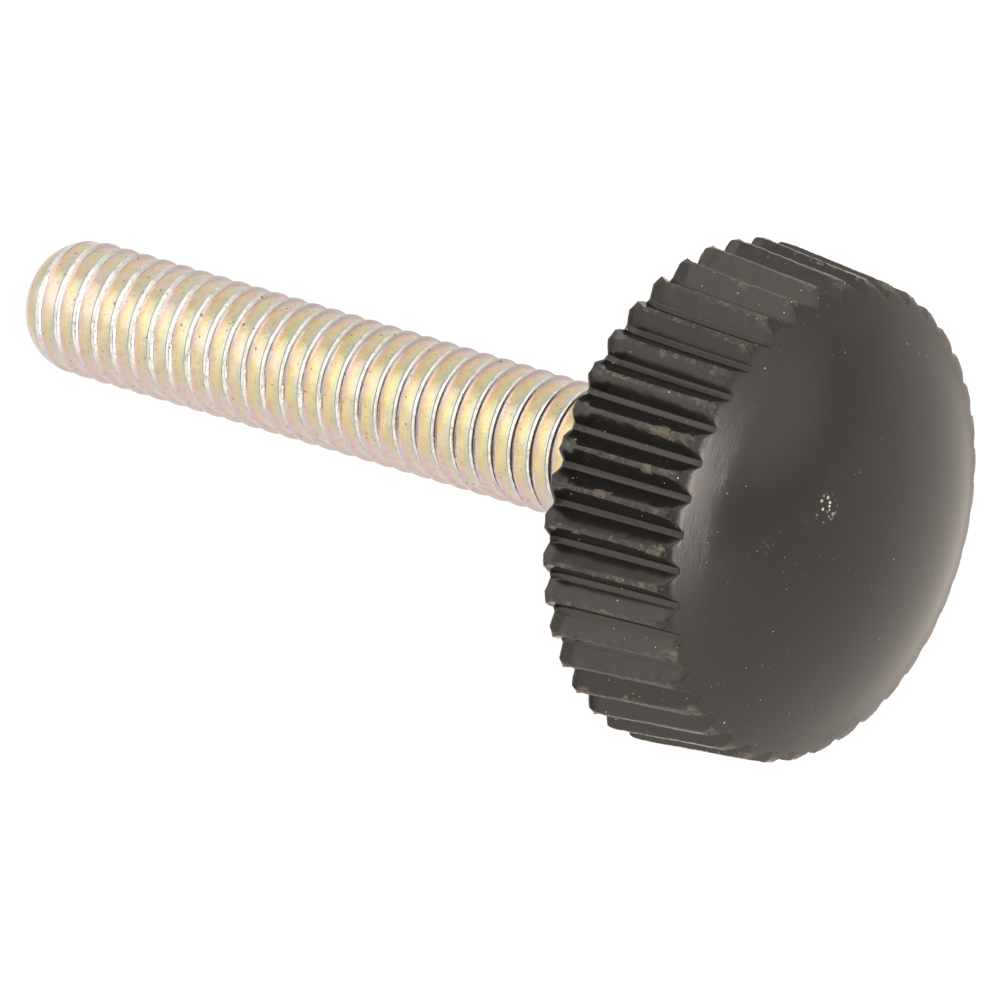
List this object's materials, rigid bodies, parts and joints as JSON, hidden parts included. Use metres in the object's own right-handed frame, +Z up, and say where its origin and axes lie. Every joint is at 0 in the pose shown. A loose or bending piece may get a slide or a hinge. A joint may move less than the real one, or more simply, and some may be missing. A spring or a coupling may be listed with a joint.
{
  "type": "knurled knob",
  "caption": "Black moulded thumb knob with a tapered straight knurl and a domed face, moulded onto a right-hand threaded steel stud, for clamping by hand.",
  "frame": {"origin": "centre of the footprint box, on the surface the knob lies on", "axes": "+Z up; +X from the tip of the stud to the knob; the stud's axis lies in the XZ plane and rises 12.66 degrees from the tip to the knob"},
  "size_m": [0.03, 0.0144, 0.0146],
  "materials": {
    "black_plastic": "satin moulded black plastic, dusty along the tooth crests",
    "zinc_plated_steel": "rolled thread, bright zinc with a faint yellow and pink passivation"
  },
  "bodies": {
    "root": {"knob": "black_plastic", "threaded_stud": "zinc_plated_steel"}
  },
  "joints": []
}
